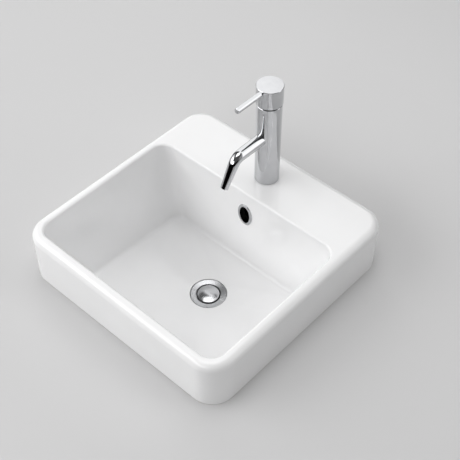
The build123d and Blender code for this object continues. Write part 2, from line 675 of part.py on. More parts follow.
def spindle():
    """Turning holder of the stem, guided by the cartridge's neck."""
    _, _, moving_top = disc_levels()
    low = moving_top + DISC_GAP
    top = PIVOT_Z + SPINDLE_TOP_ABOVE_PIVOT
    body = rod(SPINDLE_RADIUS, low, top, y=TAP_Y)
    body += rod(SPINDLE_COLLAR_RADIUS, low, low + SPINDLE_COLLAR_HEIGHT, y=TAP_Y)
    lift = radians(LIFT_DEG)
    half_width = STEM_WIDTH / 2 + STEM_SLOT_CLEARANCE
    swing = SPINDLE_TOP_ABOVE_PIVOT * tan(lift) + STEM_DEPTH / 2 / cos(lift)
    half_length = swing + STEM_SLOT_CLEARANCE
    body -= block(
        (-half_width, TAP_Y - half_length, low - CUT_MARGIN),
        (half_width, TAP_Y + half_length, top + CUT_MARGIN),
    )
    return body - pivot_bar(PIVOT_PIN_RADIUS, SPINDLE_RADIUS + CUT_MARGIN)


def pivot_bar(radius, half_length):
    """Cylinder along X through the stem's pivot."""
    return Pos(0, TAP_Y, PIVOT_Z) * Rot(0, 90, 0) * Cylinder(radius, 2 * half_length)


def pivot_pin():
    """Cross pin on which the stem tilts."""
    return pivot_bar(PIVOT_PIN_RADIUS, SPINDLE_RADIUS - EDGE_BREAK)


def lever_stem():
    """Brass stem: square top for the cap, flat pivot stretch, and a ball tip that drives the disc."""
    tip_z = PIVOT_Z - STEM_TIP_DROP
    shoulder = tip_z + STEM_TIP_RADIUS + STEM_NECK_RADIUS
    stem = block(
        (-STEM_WIDTH / 2, TAP_Y - STEM_DEPTH / 2, shoulder),
        (STEM_WIDTH / 2, TAP_Y + STEM_DEPTH / 2, SOCKET_TOP_Z - EDGE_BREAK),
    )
    stem += rod(STEM_NECK_RADIUS, tip_z, shoulder, y=TAP_Y)
    stem += Pos(0, TAP_Y, tip_z) * Sphere(STEM_TIP_RADIUS)
    return stem - pivot_bar(PIVOT_PIN_RADIUS + SLIDING_CLEARANCE, STEM_WIDTH)


def retaining_nut():
    """Threaded ring that holds the cartridge down."""
    _, low = plate_levels()
    outer = CHAMBER_RADIUS - SLIDING_CLEARANCE
    inner = NECK_RADIUS + RETAINING_NUT_CLEARANCE
    return tube(outer, inner, low, low + RETAINING_NUT_HEIGHT, y=TAP_Y)


def dome_cover():
    """Chrome dome over the cartridge, round about the stem's pivot, so the cap clears it at any tilt."""
    foot = plate_levels()[1] + RETAINING_NUT_HEIGHT
    spring_line = PIVOT_Z + sqrt(DOME_RADIUS**2 - DOME_FOOT_RADIUS**2)
    ball = Pos(0, TAP_Y, PIVOT_Z) * (Sphere(DOME_RADIUS) - Sphere(DOME_RADIUS - DOME_WALL))
    zone = ball & tube(DOME_FOOT_RADIUS, DOME_HOLE_RADIUS, PIVOT_Z, PIVOT_Z + DOME_RADIUS, y=TAP_Y)
    foot_ring = tube(DOME_FOOT_RADIUS, DOME_FOOT_RADIUS - DOME_WALL, foot, spring_line, y=TAP_Y)
    return zone + foot_ring


def handle_cap():
    """Hollow cap with a thin skirt, a boss with a square socket, and holes for the lever and grub screw."""
    skirt_inner = CAP_RADIUS - CAP_SKIRT_WALL
    cavity_top = CAP_EDGE_Z + CAP_CAVITY_DEPTH
    outside = chamfer(rod(CAP_RADIUS, CAP_EDGE_Z, CAP_TOP_Z).edges().group_by(Axis.Z)[-1], EDGE_BREAK)
    cap = Pos(0, TAP_Y, 0) * outside
    cap -= rod(skirt_inner, CAP_EDGE_Z - CUT_MARGIN, CAP_EDGE_Z + CAP_SKIRT_DEPTH, y=TAP_Y)
    cap -= rod(CAP_CAVITY_RADIUS, CAP_EDGE_Z, cavity_top, y=TAP_Y)
    cap += rod(CAP_BOSS_RADIUS, SOCKET_LOW_Z, cavity_top, y=TAP_Y)
    half_width = STEM_WIDTH / 2 + SOCKET_CLEARANCE
    half_depth = STEM_DEPTH / 2 + SOCKET_CLEARANCE
    cap -= block(
        (-half_width, TAP_Y - half_depth, SOCKET_LOW_Z - CUT_MARGIN),
        (half_width, TAP_Y + half_depth, SOCKET_TOP_Z),
    )
    front = TAP_Y - CAP_RADIUS
    thread_end = front + LEVER_THREAD_LENGTH + CUT_MARGIN
    cap -= bar_along_y(LEVER_THREAD_RADIUS, front - CUT_MARGIN, thread_end, 0, LEVER_Z)
    cap -= bar_along_y(GRUB_RADIUS, TAP_Y, TAP_Y + CAP_RADIUS + CUT_MARGIN, 0, GRUB_Z)
    return cap


def pin_lever():
    """Round pin lever with a threaded root, its shoulder shaped to the cap."""
    front = TAP_Y - CAP_RADIUS
    pin = bar_along_y(LEVER_RADIUS, TAP_Y - LEVER_REACH, front + EDGE_BREAK, 0, LEVER_Z)
    pin = chamfer(pin.edges().group_by(Axis.Y)[0], EDGE_BREAK)
    pin -= rod(CAP_RADIUS, CAP_EDGE_Z, CAP_TOP_Z + CUT_MARGIN, y=TAP_Y)
    root = bar_along_y(LEVER_THREAD_RADIUS, front - CUT_MARGIN, front + LEVER_THREAD_LENGTH, 0, LEVER_Z)
    return pin + root


def grub_screw():
    """Set screw that locks the cap on the stem."""
    front = TAP_Y + STEM_DEPTH / 2 + SOCKET_CLEARANCE
    back = front + GRUB_LENGTH
    screw = bar_along_y(GRUB_RADIUS, front, back, 0, GRUB_Z)
    return screw - bar_along_y(GRUB_KEY_RADIUS, back - GRUB_KEY_DEPTH, back + CUT_MARGIN, 0, GRUB_Z)


def fixing_stud():
    """Threaded stud that holds the mixer down."""
    radius = STUD_RADIUS - STUD_THREAD_CLEARANCE
    top = DECK_Z + DECK_SHADOW_GAP + STUD_DEPTH_IN_BODY
    return rod(radius, DECK_Z - STUD_BELOW_DECK, top, y=TAP_Y + STUD_Y)


def clamp_piece(low, high):
    """Horseshoe that bears on the deck's underside round the tap hole."""
    below = low - CUT_MARGIN
    above = high + CUT_MARGIN
    slot = block(
        (-CLAMP_SLOT_HALF_WIDTH, TAP_Y - CLAMP_RADIUS - CUT_MARGIN, below),
        (CLAMP_SLOT_HALF_WIDTH, TAP_Y + CLAMP_SLOT_END_Y, above),
    )
    stud_hole = rod(STUD_RADIUS + STUD_THREAD_CLEARANCE, below, above, y=TAP_Y + STUD_Y)
    return rod(CLAMP_RADIUS, low, high, y=TAP_Y) - slot - stud_hole


def clamp_gasket():
    """Rubber horseshoe against the deck's underside."""
    return clamp_piece(CLAMP_GASKET_LOW, DECK_UNDERSIDE_Z)


def clamp_plate():
    """Steel horseshoe under the rubber one."""
    return clamp_piece(CLAMP_PLATE_LOW, CLAMP_GASKET_LOW)


def fixing_nut():
    """Hexagonal nut on the fixing stud."""
    low = CLAMP_PLATE_LOW - FIXING_NUT_HEIGHT
    nut = hexagon(FIXING_NUT_ACROSS_FLATS, low, CLAMP_PLATE_LOW, y=TAP_Y + STUD_Y)
    return nut - rod(STUD_RADIUS, low - CUT_MARGIN, CLAMP_PLATE_LOW + CUT_MARGIN, y=TAP_Y + STUD_Y)


NODES = {
    "basin_body": basin_body,
    "overflow_trim": overflow_trim,
    "waste_body": waste_body,
    "waste_latch": waste_latch,
    "flange_seal": flange_seal,
    "plug_cap": plug_cap,
    "plug_stem": plug_stem,
    "plug_seal": plug_seal,
    "cone_washer": cone_washer,
    "slip_washer": slip_washer,
    "back_nut": back_nut,
    "mixer_body": mixer_body,
    "base_gasket": base_gasket,
    "spout_tube": spout_tube,
    "aerator_housing": aerator_housing,
    "aerator_insert": aerator_insert,
    "port_seals": port_seals,
    "cartridge_body": cartridge_body,
    "fixed_disc": fixed_disc,
    "moving_disc": moving_disc,
    "spindle": spindle,
    "pivot_pin": pivot_pin,
    "lever_stem": lever_stem,
    "retaining_nut": retaining_nut,
    "dome_cover": dome_cover,
    "handle_cap": handle_cap,
    "pin_lever": pin_lever,
    "grub_screw": grub_screw,
    "fixing_stud": fixing_stud,
    "clamp_gasket": clamp_gasket,
    "clamp_plate": clamp_plate,
    "fixing_nut": fixing_nut,
}

os.makedirs("parts", exist_ok=True)
for node, make in NODES.items():
    export_step(make(), f"parts/{node}.step")
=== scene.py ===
"""Dresses a square inset basin, its push-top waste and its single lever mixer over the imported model."""

import logging
import math
from dataclasses import dataclass
from enum import Enum
from functools import reduce

import bmesh
import bpy
from mathutils import Matrix, Vector

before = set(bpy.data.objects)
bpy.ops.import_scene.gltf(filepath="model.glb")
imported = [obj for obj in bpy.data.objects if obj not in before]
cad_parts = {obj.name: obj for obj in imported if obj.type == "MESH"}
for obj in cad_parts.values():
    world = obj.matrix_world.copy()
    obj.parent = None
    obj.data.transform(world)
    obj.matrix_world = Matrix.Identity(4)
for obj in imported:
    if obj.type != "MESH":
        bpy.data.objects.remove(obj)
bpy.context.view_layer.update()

log = logging.getLogger("basin")

Triple = tuple[float, float, float]
Socket = bpy.types.NodeSocket
MM = 0.001
TONE_MARGIN = 0.3


class Spread(Enum):
    """How a grain lies over a surface."""

    EVEN = (1.0, 1.0, 1.0)
    AROUND_UPRIGHT = (0.04, 0.04, 1.0)


class Shift(Enum):
    """How far a noise is moved, in metres, so that no two noises of a material agree."""

    NONE = 0.0
    CLAY = 0.2
    SHINE = 0.3
    SMUDGE = 0.4
    DULL = 0.5
    RIPPLE = 0.7
    # The noise shift below is for the painted shade inside the overflow's passage.
    PASSAGE_SHADE = 0.8
    MARKS = 0.9
    PEEL = 1.1
    GRIT = 1.6


class ShaderSheet:
    """A node material that is being laid out."""

    def __init__(self, name: str) -> None:
        """Starts a material with its usual surface shader.

        Args:
            name: Name of the material.
        """
        self.material = bpy.data.materials.new(name)
        self.material.use_nodes = True
        self.nodes = self.material.node_tree.nodes
        self.links = self.material.node_tree.links
        self.surface = self.nodes["Principled BSDF"]
        self.coordinates = self.nodes.new("ShaderNodeTexCoord")
        self.place = self.coordinates.outputs["Object"]

    def put(self, socket: str, value: float | tuple[float, ...]) -> None:
        """Writes a plain value to a socket of the surface shader."""
        self.surface.inputs[socket].default_value = value

    def join(self, output: Socket, socket: str) -> None:
        """Leads an output to a socket of the surface shader."""
        self.links.new(output, self.surface.inputs[socket])

    def grain(
        self, size_mm: float, detail: float, shift: Shift = Shift.NONE, spread: Spread = Spread.EVEN
    ) -> Socket:
        """Adds a noise.

        Args:
            size_mm: Size of its spots in millimetres.
            detail: How many finer layers it has.
            shift: How far it is moved.
            spread: How its spots are drawn out.

        Returns:
            The noise's value, from 0 to 1.
        """
        stretch = self.nodes.new("ShaderNodeMapping")
        stretch.inputs["Scale"].default_value = spread.value
        stretch.inputs["Location"].default_value = (shift.value, shift.value, shift.value)
        self.links.new(self.place, stretch.inputs["Vector"])
        noise = self.nodes.new("ShaderNodeTexNoise")
        noise.inputs["Scale"].default_value = 1.0 / (size_mm * MM)
        noise.inputs["Detail"].default_value = detail
        self.links.new(stretch.outputs["Vector"], noise.inputs["Vector"])
        return noise.outputs["Fac"]

    def between(self, factor: Socket, low: float, high: float) -> Socket:
        """Maps a value from 0 to 1 onto a range.

        Args:
            factor: The value to map.
            low: What 0 becomes.
            high: What 1 becomes.

        Returns:
            The mapped value.
        """
        ranged = self.nodes.new("ShaderNodeMapRange")
        ranged.inputs["To Min"].default_value = low
        ranged.inputs["To Max"].default_value = high
        self.links.new(factor, ranged.inputs["Value"])
        return ranged.outputs["Result"]

    def gradient(self, factor: Socket, start: Triple, end: Triple, margin: float = 0.0) -> Socket:
        """Runs a colour from one tone to another.

        Args:
            factor: How far along it lies, from 0 to 1.
            start: Colour at 0.
            end: Colour at 1.
            margin: Share of the run at either end that keeps the end's colour.

        Returns:
            The colour.
        """
        ramp = self.nodes.new("ShaderNodeValToRGB")
        first, last = ramp.color_ramp.elements
        first.color = (*start, 1.0)
        last.color = (*end, 1.0)
        first.position = margin
        last.position = 1.0 - margin
        self.links.new(factor, ramp.inputs["Fac"])
        return ramp.outputs["Color"]

    def tones(self, factor: Socket, dark: Triple, light: Triple) -> Socket:
        """Mottles a colour between two tones, by a noise."""
        return self.gradient(factor, dark, light, TONE_MARGIN)

    def calculate(self, kind: str, first: Socket | float, second: Socket | float = 0.0) -> Socket:
        """Adds a piece of arithmetic.

        Args:
            kind: The operation, as the math node names it.
            first: A socket or a number.
            second: A socket or a number.

        Returns:
            The result.
        """
        node = self.nodes.new("ShaderNodeMath")
        node.operation = kind
        for place, value in enumerate((first, second)):
            if isinstance(value, (int, float)):
                node.inputs[place].default_value = value
            else:
                self.links.new(value, node.inputs[place])
        return node.outputs["Value"]

    def product(self, *factors: Socket) -> Socket:
        """Multiplies some values."""
        return reduce(lambda first, second: self.calculate("MULTIPLY", first, second), factors)

    def split(self, vector: Socket) -> list[Socket]:
        """Splits a vector into its three parts."""
        node = self.nodes.new("ShaderNodeSeparateXYZ")
        self.links.new(vector, node.inputs["Vector"])
        return [node.outputs[axis] for axis in "XYZ"]

    def blend(
        self, factor: Socket, base: Socket, over: Socket, kind: str
    ) -> Socket:
        """Blends two values or two colours.

        Args:
            factor: How much of the second one shows.
            base: What shows at 0.
            over: What shows at 1.
            kind: FLOAT or RGBA.

        Returns:
            The blend.
        """
        mix = self.nodes.new("ShaderNodeMix")
        mix.data_type = kind
        open_inputs = [socket for socket in mix.inputs if socket.enabled]
        for output, socket in zip((factor, base, over), open_inputs):
            self.links.new(output, socket)
        return [socket for socket in mix.outputs if socket.enabled][0]

    def relief(self, layers: list[tuple[Socket, float]]) -> None:
        """Raises the surface by some noises.

        Args:
            layers: Each noise with its height in millimetres.
        """
        normal = None
        for height, tall_mm in layers:
            bump = self.nodes.new("ShaderNodeBump")
            bump.inputs["Distance"].default_value = tall_mm * MM
            self.links.new(height, bump.inputs["Height"])
            if normal is not None:
                self.links.new(normal, bump.inputs["Normal"])
            normal = bump.outputs["Normal"]
        self.join(normal, "Normal")


@dataclass(frozen=True)
class Glaze:
    """White sanitary glaze, the bare clay under the deck and round the bowl's outside, and painted shade
    inside the overflow's passage.
    """

    refraction: float = 1.52
    pale: Triple = (0.905, 0.905, 0.908)
    deep: Triple = (0.885, 0.885, 0.888)
    cloud_mm: float = 60.0
    gloss: float = 0.07
    gloss_loss: float = 0.05
    gloss_spot_mm: float = 18.0
    ripple_mm: float = 38.0
    ripple_height_mm: float = 0.035
    peel_mm: float = 2.4
    peel_height_mm: float = 0.0015
    clay_pale: Triple = (0.80, 0.785, 0.755)
    clay_deep: Triple = (0.72, 0.70, 0.67)
    clay_spot_mm: float = 7.0
    clay_smooth: float = 0.55
    clay_rough: float = 0.8
    clay_dull_spot_mm: float = 3.0
    clay_grit_mm: float = 1.1
    clay_grit_height_mm: float = 0.06
    skirt_inside_x: float = 0.1872
    skirt_inside_y: float = 0.1857
    deck_underside: float = 0.0772
    skirt_lean: float = -0.01
    under_lean: float = -0.3
    # Painted shade: the near-black tones below are painted inside the overflow's passage.
    passage_shade_pale: Triple = (0.035, 0.034, 0.032)
    passage_shade_deep: Triple = (0.020, 0.020, 0.019)
    passage_spot_mm: float = 4.0
    passage_from_y: float = 0.0985
    passage_to_y: float = 0.1165
    passage_half_x: float = 0.0145
    passage_top: float = 0.065
    passage_bottom: float = -0.050

    def material(self) -> bpy.types.Material:
        """Lays out the glaze's material."""
        sheet = ShaderSheet("white_glaze")
        sheet.put("IOR", self.refraction)
        bare = self.bare_places(sheet)
        self.colour(sheet, bare)
        shine = sheet.between(
            sheet.grain(self.gloss_spot_mm, 4.0, Shift.SHINE), self.gloss, self.gloss + self.gloss_loss
        )
        dull = sheet.between(
            sheet.grain(self.clay_dull_spot_mm, 3.0, Shift.DULL), self.clay_smooth, self.clay_rough
        )
        sheet.join(sheet.blend(bare, shine, dull, "FLOAT"), "Roughness")
        ripple = sheet.grain(self.ripple_mm, 1.0, Shift.RIPPLE)
        peel = sheet.grain(self.peel_mm, 1.0, Shift.PEEL)
        grit = sheet.product(sheet.grain(self.clay_grit_mm, 4.0, Shift.GRIT), bare)
        sheet.relief(
            [
                (ripple, self.ripple_height_mm),
                (peel, self.peel_height_mm),
                (grit, self.clay_grit_height_mm),
            ]
        )
        return sheet.material

    def colour(self, sheet: ShaderSheet, bare: Socket) -> None:
        """Colours the glaze and the bare clay, and paints shade inside the overflow's passage.

        Args:
            sheet: The material that is being laid out.
            bare: 1 on bare clay and 0 on glaze.
        """
        glazed = sheet.tones(sheet.grain(self.cloud_mm, 3.0), self.deep, self.pale)
        clay = sheet.tones(sheet.grain(self.clay_spot_mm, 6.0, Shift.CLAY), self.clay_deep, self.clay_pale)
        # Painted shade: a near-black mottle is painted inside the overflow's passage.
        shade = sheet.tones(
            sheet.grain(self.passage_spot_mm, 3.0, Shift.PASSAGE_SHADE), self.passage_shade_deep, self.passage_shade_pale
        )
        outside = sheet.blend(bare, glazed, clay, "RGBA")
        sheet.join(sheet.blend(self.passage_places(sheet), outside, shade, "RGBA"), "Base Color")

    def passage_places(self, sheet: ShaderSheet) -> Socket:
        """Finds the inside of the overflow's passage, which hardly any light reaches, so that shade is
        painted there.

        Args:
            sheet: The material that is being laid out.

        Returns:
            1 inside the passage and 0 elsewhere.
        """
        x, y, z = sheet.split(sheet.place)
        return sheet.product(
            sheet.calculate("GREATER_THAN", y, self.passage_from_y),
            sheet.calculate("LESS_THAN", y, self.passage_to_y),
            sheet.calculate("LESS_THAN", sheet.calculate("ABSOLUTE", x), self.passage_half_x),
            sheet.calculate("LESS_THAN", z, self.passage_top),
            sheet.calculate("GREATER_THAN", z, self.passage_bottom),
        )

    def bare_places(self, sheet: ShaderSheet) -> Socket:
        """Finds the surfaces that the glaze doesn't cover.

        Args:
            sheet: The material that is being laid out.

        Returns:
            1 on bare clay and 0 on glaze.
        """
        x, y, z = sheet.split(sheet.place)
        lean_x, lean_y, lean_z = sheet.split(sheet.coordinates.outputs["Normal"])
        within = sheet.product(
            sheet.calculate("LESS_THAN", sheet.calculate("ABSOLUTE", x), self.skirt_inside_x),
            sheet.calculate("LESS_THAN", sheet.calculate("ABSOLUTE", y), self.skirt_inside_y),
        )
        outward = sheet.calculate("ADD", sheet.product(x, lean_x), sheet.product(y, lean_y))
        bowl_outside = sheet.product(within, sheet.calculate("GREATER_THAN", outward, 0.0))
        skirt_inside = sheet.product(
            sheet.calculate("SUBTRACT", 1.0, within),
            sheet.calculate("LESS_THAN", outward, self.skirt_lean),
        )
        under = sheet.calculate("LESS_THAN", lean_z, self.under_lean)
        upright = sheet.calculate("MAXIMUM", bowl_outside, skirt_inside)
        below_deck = sheet.calculate("LESS_THAN", z, self.deck_underside)
        return sheet.product(sheet.calculate("MAXIMUM", upright, under), below_deck)


@dataclass(frozen=True)
class ThreadCut:
    """A screw thread cut over a length of an upright piece."""

    pitch_mm: float
    centre_y: float
    low: float
    high: float
    depth_mm: float

    def height(self, sheet: ShaderSheet) -> Socket:
        """Gives the thread's relief.

        Args:
            sheet: The material that is being laid out.

        Returns:
            The height of the thread's flank, from 0 to 1.
        """
        x, y, z = sheet.split(sheet.place)
        turn = sheet.calculate("ARCTAN2", sheet.calculate("SUBTRACT", y, self.centre_y), x)
        climb = sheet.calculate("DIVIDE", z, self.pitch_mm * MM)
        phase = sheet.calculate("ADD", climb, sheet.calculate("DIVIDE", turn, 2 * math.pi))
        flank = sheet.calculate("PINGPONG", phase, 0.5)
        above = sheet.calculate("GREATER_THAN", z, self.low)
        below = sheet.calculate("LESS_THAN", z, self.high)
        return sheet.product(flank, above, below)


@dataclass(frozen=True)
class GapShadeRing:
    """Painted shade: a dull black ring painted round the edge of a round upright piece, standing in for
    the shade of the gap round it.
    """

    radius: float
    centre_y: float
    pale: Triple = (0.015, 0.015, 0.015)
    deep: Triple = (0.009, 0.009, 0.009)
    grain_mm: float = 1.0
    dull: float = 0.6

    def cover(self, sheet: ShaderSheet) -> Socket:
        """Finds the ring of painted shade.

        Args:
            sheet: The material that is being laid out.

        Returns:
            1 on the ring and 0 on the metal.
        """
        x, y = sheet.split(sheet.place)[:2]
        off_y = sheet.calculate("SUBTRACT", y, self.centre_y)
        squares = sheet.calculate("ADD", sheet.product(x, x), sheet.product(off_y, off_y))
        return sheet.calculate("GREATER_THAN", squares, self.radius * self.radius)


@dataclass(frozen=True)
class Metal:
    """A metal finish with its own polish marks."""

    name: str
    pale: Triple
    deep: Triple
    smooth: float
    worn: float
    mark_mm: float
    relief_mm: float
    spread: Spread = Spread.EVEN
    spot_mm: float = 12.0
    smudge_mm: float = 8.4
    thread: ThreadCut | None = None
    edge: GapShadeRing | None = None

    def material(self) -> bpy.types.Material:
        """Lays out the metal's material."""
        sheet = ShaderSheet(self.name)
        sheet.put("Metallic", 1.0)
        colour = sheet.tones(sheet.grain(self.spot_mm, 3.0), self.deep, self.pale)
        polish = sheet.between(sheet.grain(self.smudge_mm, 5.0, Shift.SMUDGE), self.smooth, self.worn)
        # Painted shade: a dull black ring on the piece's edge stands in for the shade of the gap round it.
        if self.edge is not None:
            rubber = self.edge.cover(sheet)
            black = sheet.gradient(sheet.grain(self.edge.grain_mm, 2.0), self.edge.deep, self.edge.pale)
            colour = sheet.blend(rubber, colour, black, "RGBA")
            dull = sheet.calculate("MULTIPLY", rubber, self.edge.dull)
            polish = sheet.calculate("MAXIMUM", polish, dull)
            sheet.join(sheet.calculate("SUBTRACT", 1.0, rubber), "Metallic")
        sheet.join(colour, "Base Color")
        sheet.join(polish, "Roughness")
        layers = [(sheet.grain(self.mark_mm, 3.0, Shift.MARKS, self.spread), self.relief_mm)]
        if self.thread is not None:
            layers.append((self.thread.height(sheet), self.thread.depth_mm))
        sheet.relief(layers)
        return sheet.material


@dataclass(frozen=True)
class Matte:
    """A rubber, plastic or lapped ceramic without a gloss."""

    name: str
    pale: Triple
    deep: Triple
    smooth: float
    worn: float
    grain_mm: float
    relief_mm: float
    spot_mm: float = 9.0
    rub_mm: float = 4.0

    def material(self) -> bpy.types.Material:
        """Lays out the material."""
        sheet = ShaderSheet(self.name)
        sheet.join(sheet.tones(sheet.grain(self.spot_mm, 4.0), self.deep, self.pale), "Base Color")
        rub = sheet.grain(self.rub_mm, 4.0, Shift.SMUDGE)
        sheet.join(sheet.between(rub, self.smooth, self.worn), "Roughness")
        sheet.relief([(sheet.grain(self.grain_mm, 3.0, Shift.MARKS), self.relief_mm)])
        return sheet.material


CHROME_PALE = (0.585, 0.590, 0.600)
CHROME_DEEP = (0.555, 0.560, 0.575)
ZINC_PALE = (0.66, 0.67, 0.69)
ZINC_DEEP = (0.52, 0.53, 0.56)
DRAIN_Y = 0.001
STUD_Y = 0.1525
TAIL_THREAD = ThreadCut(pitch_mm=2.309, centre_y=DRAIN_Y, low=-0.1418, high=-0.1125, depth_mm=1.2)
# The plug's ring of painted shade, for the shaded gap between the plug and the waste's flange.
PLUG_GAP_SHADE = GapShadeRing(radius=0.0181, centre_y=DRAIN_Y)
STUD_THREAD = ThreadCut(pitch_mm=1.25, centre_y=STUD_Y, low=0.0, high=0.120, depth_mm=0.7)


class Coat(Enum):
    """The finishes on the object."""

    GLAZE = Glaze()
    CHROME = Metal("polished_chrome", CHROME_PALE, CHROME_DEEP, 0.025, 0.07, 9.0, 0.004)
    WASTE_CHROME = Metal(
        "waste_chrome", CHROME_PALE, CHROME_DEEP, 0.24, 0.32, 9.0, 0.004, thread=TAIL_THREAD
    )
    PLUG_CHROME = Metal("plug_chrome", CHROME_PALE, CHROME_DEEP, 0.16, 0.22, 9.0, 0.004, edge=PLUG_GAP_SHADE)
    BRASS = Metal(
        "turned_brass", (0.78, 0.60, 0.30), (0.66, 0.48, 0.22), 0.2, 0.38, 0.8, 0.01, Spread.AROUND_UPRIGHT
    )
    STEEL = Metal("zinc_plated_steel", ZINC_PALE, ZINC_DEEP, 0.25, 0.45, 1.5, 0.01)
    THREADED_STEEL = Metal(
        "threaded_steel", ZINC_PALE, ZINC_DEEP, 0.25, 0.45, 1.5, 0.01, thread=STUD_THREAD
    )
    RUBBER = Matte("black_rubber", (0.035, 0.035, 0.036), (0.018, 0.018, 0.019), 0.6, 0.85, 0.5, 0.02)
    PLASTIC = Matte("moulded_plastic", (0.80, 0.80, 0.77), (0.74, 0.74, 0.71), 0.35, 0.55, 0.7, 0.01)
    DISC = Matte("lapped_ceramic", (0.86, 0.85, 0.81), (0.80, 0.79, 0.75), 0.3, 0.45, 0.4, 0.002)


class FinishShelf:
    """Keeps one material for each coat."""

    def __init__(self) -> None:
        """Starts with an empty shelf."""
        self.made: dict[Coat, bpy.types.Material] = {}

    def take(self, coat: Coat) -> bpy.types.Material:
        """Gives a coat's material.

        Args:
            coat: The coat that is wanted.

        Returns:
            Its material, made at the first call.
        """
        if coat not in self.made:
            self.made[coat] = coat.value.material()
        return self.made[coat]


@dataclass
class Dresser:
    """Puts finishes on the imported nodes."""

    shelf: FinishShelf

    def coat_node(self, node: str, coat: Coat) -> None:
        """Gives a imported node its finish.

        Args:
            node: Name of the node.
            coat: Finish that it takes.
        """
        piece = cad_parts[node]
        for slot in piece.material_slots:
            slot.material = self.shelf.take(coat)
        log.info("dressed %s in %s", node, coat.name)


@dataclass
class Basin:
    """The glazed casting and the ring in its overflow."""

    dresser: Dresser

    def dress(self) -> None:
        """Dresses the casting and the overflow's ring."""
        self.dresser.coat_node("basin_body", Coat.GLAZE)
        self.dresser.coat_node("overflow_trim", Coat.CHROME)


@dataclass
class Waste:
    """The waste with its plug, and the nut and washers under the bowl."""

    dresser: Dresser

    def dress(self) -> None:
        """Dresses the waste from its flange down to its back nut."""
        self.dresser.coat_node("waste_body", Coat.WASTE_CHROME)
        self.dresser.coat_node("plug_cap", Coat.PLUG_CHROME)
        for node in ("waste_latch", "plug_stem", "back_nut"):
            self.dresser.coat_node(node, Coat.BRASS)
        for node in ("flange_seal", "plug_seal", "cone_washer"):
            self.dresser.coat_node(node, Coat.RUBBER)
        self.dresser.coat_node("slip_washer", Coat.PLASTIC)


@dataclass
class Mixer:
    """The mixer's body with its spout and what is inside them."""

    dresser: Dresser

    def dress(self) -> None:
        """Dresses the body, the spout and the cartridge."""
        for node in ("mixer_body", "spout_tube", "aerator_housing", "dome_cover"):
            self.dresser.coat_node(node, Coat.CHROME)
        for node in ("aerator_insert", "cartridge_body"):
            self.dresser.coat_node(node, Coat.PLASTIC)
        for node in ("base_gasket", "port_seals"):
            self.dresser.coat_node(node, Coat.RUBBER)
        for node in ("fixed_disc", "moving_disc"):
            self.dresser.coat_node(node, Coat.DISC)
        for node in ("spindle", "retaining_nut"):
            self.dresser.coat_node(node, Coat.BRASS)
        self.dresser.coat_node("pivot_pin", Coat.STEEL)


@dataclass
class Handle:
    """The cap with its pin lever, on the cartridge's stem."""

    dresser: Dresser

    def dress(self) -> None:
        """Dresses the cap, the lever, the stem and the grub screw."""
        for node in ("handle_cap", "pin_lever"):
            self.dresser.coat_node(node, Coat.CHROME)
        self.dresser.coat_node("lever_stem", Coat.BRASS)
        self.dresser.coat_node("grub_screw", Coat.STEEL)


@dataclass
class Fixings:
    """What clamps the mixer under the deck."""

    dresser: Dresser

    def dress(self) -> None:
        """Dresses the stud, the clamp and the nut."""
        self.dresser.coat_node("fixing_stud", Coat.THREADED_STEEL)
        self.dresser.coat_node("clamp_plate", Coat.STEEL)
        self.dresser.coat_node("clamp_gasket", Coat.RUBBER)
        self.dresser.coat_node("fixing_nut", Coat.BRASS)


@dataclass(frozen=True)
class Softbox:
    """A rectangular studio light."""

    name: str
    place: Triple
    aim: Triple
    wide: float
    tall: float
    radiance: float

    def hang(self) -> None:
        """Makes the light and points it."""
        data = bpy.data.lights.new(self.name, "AREA")
        data.shape = "RECTANGLE"
        data.size = self.wide
        data.size_y = self.tall
        data.energy = self.radiance * math.pi * self.wide * self.tall
        lamp = bpy.data.objects.new(self.name, data)
        bpy.context.scene.collection.objects.link(lamp)
        lamp.location = self.place
        lamp.rotation_mode = "QUATERNION"
        lamp.rotation_quaternion = (Vector(self.aim) - Vector(self.place)).to_track_quat("-Z", "Y")
        lamp.visible_camera = False
        log.info("hung %s", self.name)


@dataclass(frozen=True)
class Glow:
    """A bright disc or ring of the room round an axis, with a soft edge on either side."""

    name: str
    axis: Triple
    from_deg: float
    to_deg: float
    soft_deg: float
    radiance: float

    def lay(
        self, nodes: bpy.types.Nodes, links: bpy.types.NodeLinks, toward: Socket
    ) -> Socket:
        """Lays out the glow in the room's shader.

        Args:
            nodes: Nodes of the room's shader.
            links: Links of the room's shader.
            toward: Direction that is looked at.

        Returns:
            The glow's radiance in that direction.
        """
        facing = nodes.new("ShaderNodeVectorMath")
        facing.operation = "DOT_PRODUCT"
        facing.inputs[1].default_value = Vector(self.axis).normalized()
        links.new(toward, facing.inputs[0])
        angle = nodes.new("ShaderNodeMath")
        angle.operation = "ARCCOSINE"
        links.new(facing.outputs["Value"], angle.inputs[0])
        inner = self.ramp(nodes, self.from_deg - self.soft_deg, self.from_deg, (0.0, self.radiance))
        outer = self.ramp(nodes, self.to_deg, self.to_deg + self.soft_deg, (1.0, 0.0))
        links.new(angle.outputs["Value"], inner.inputs["Value"])
        links.new(angle.outputs["Value"], outer.inputs["Value"])
        both = nodes.new("ShaderNodeMath")
        both.operation = "MULTIPLY"
        links.new(inner.outputs["Result"], both.inputs[0])
        links.new(outer.outputs["Result"], both.inputs[1])
        return both.outputs["Value"]

    def ramp(
        self, nodes: bpy.types.Nodes, start_deg: float, end_deg: float, ends: tuple[float, float]
    ) -> bpy.types.Node:
        """Adds a smooth ramp over an angle.

        Args:
            nodes: Nodes of the room's shader.
            start_deg: Angle at which the ramp starts.
            end_deg: Angle at which it ends.
            ends: What it gives before the start and after the end.

        Returns:
            The ramp's node.
        """
        fade = nodes.new("ShaderNodeMapRange")
        fade.interpolation_type = "SMOOTHSTEP"
        fade.inputs["From Min"].default_value = math.radians(start_deg)
        fade.inputs["From Max"].default_value = math.radians(end_deg)
        fade.inputs["To Min"].default_value = ends[0]
        fade.inputs["To Max"].default_value = ends[1]
        return fade


